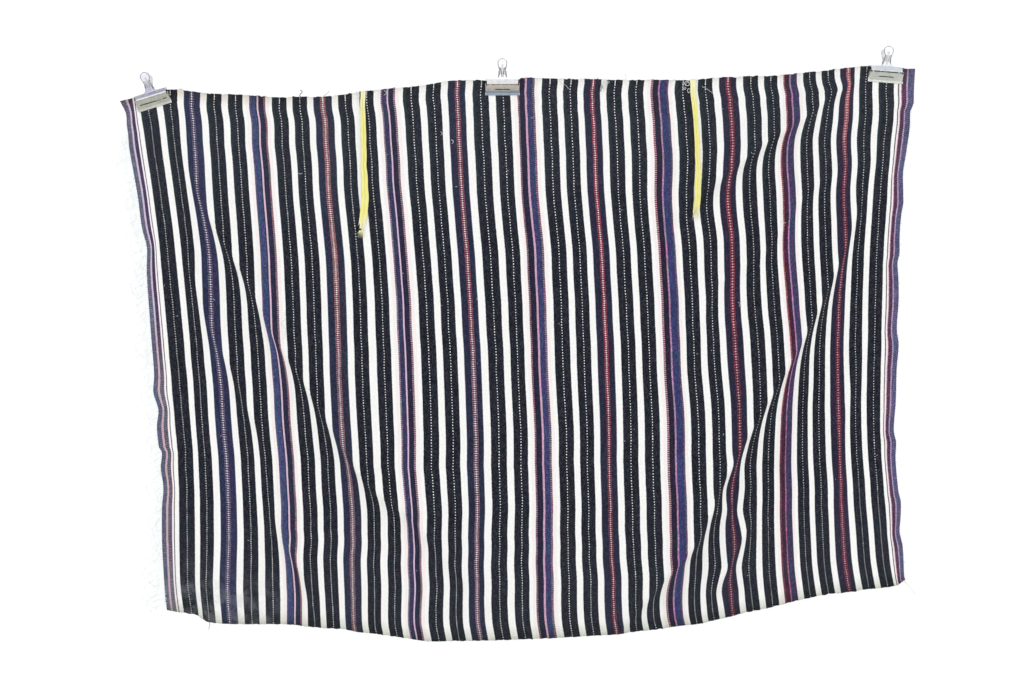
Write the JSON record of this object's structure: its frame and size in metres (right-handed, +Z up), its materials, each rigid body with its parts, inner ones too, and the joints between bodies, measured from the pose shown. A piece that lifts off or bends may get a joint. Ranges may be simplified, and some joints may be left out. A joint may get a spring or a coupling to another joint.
{
  "type": "striped aguayo carrying cloth with spring clips",
  "caption": "Warp-striped woven carrying cloth hanging in soft diagonal folds from steel spring clips, with tape ties and a thread fringe.",
  "frame": {"origin": "on the flat back of the middle clip's rear handle, in the plane of the wall", "axes": "+X along the cloth's width, to the right as seen from its front; +Y into the wall; +Z up"},
  "size_m": [1.1734, 0.0547, 0.8445],
  "materials": {
    "striped_wool": "warp-faced plain weave with white gaps, rows of dots and coloured bands",
    "white_wool_ends": "loose cut thread ends",
    "yellow_tape": "thin creased pale yellow tape",
    "clip_steel": "nickel-plated sheet steel, lightly worn",
    "spring_wire": "dark spring wire"
  },
  "bodies": {
    "root": {"cloth": "striped_wool", "fringe_left": "white_wool_ends", "tie_left": "yellow_tape", "tie_right": "yellow_tape", "clip_left_front": "clip_steel", "clip_left_back": "clip_steel", "clip_left_spring": "spring_wire", "clip_middle_front": "clip_steel", "clip_middle_back": "clip_steel", "clip_middle_spring": "spring_wire", "clip_right_front": "clip_steel", "clip_right_back": "clip_steel", "clip_right_spring": "spring_wire"}
  },
  "joints": []
}
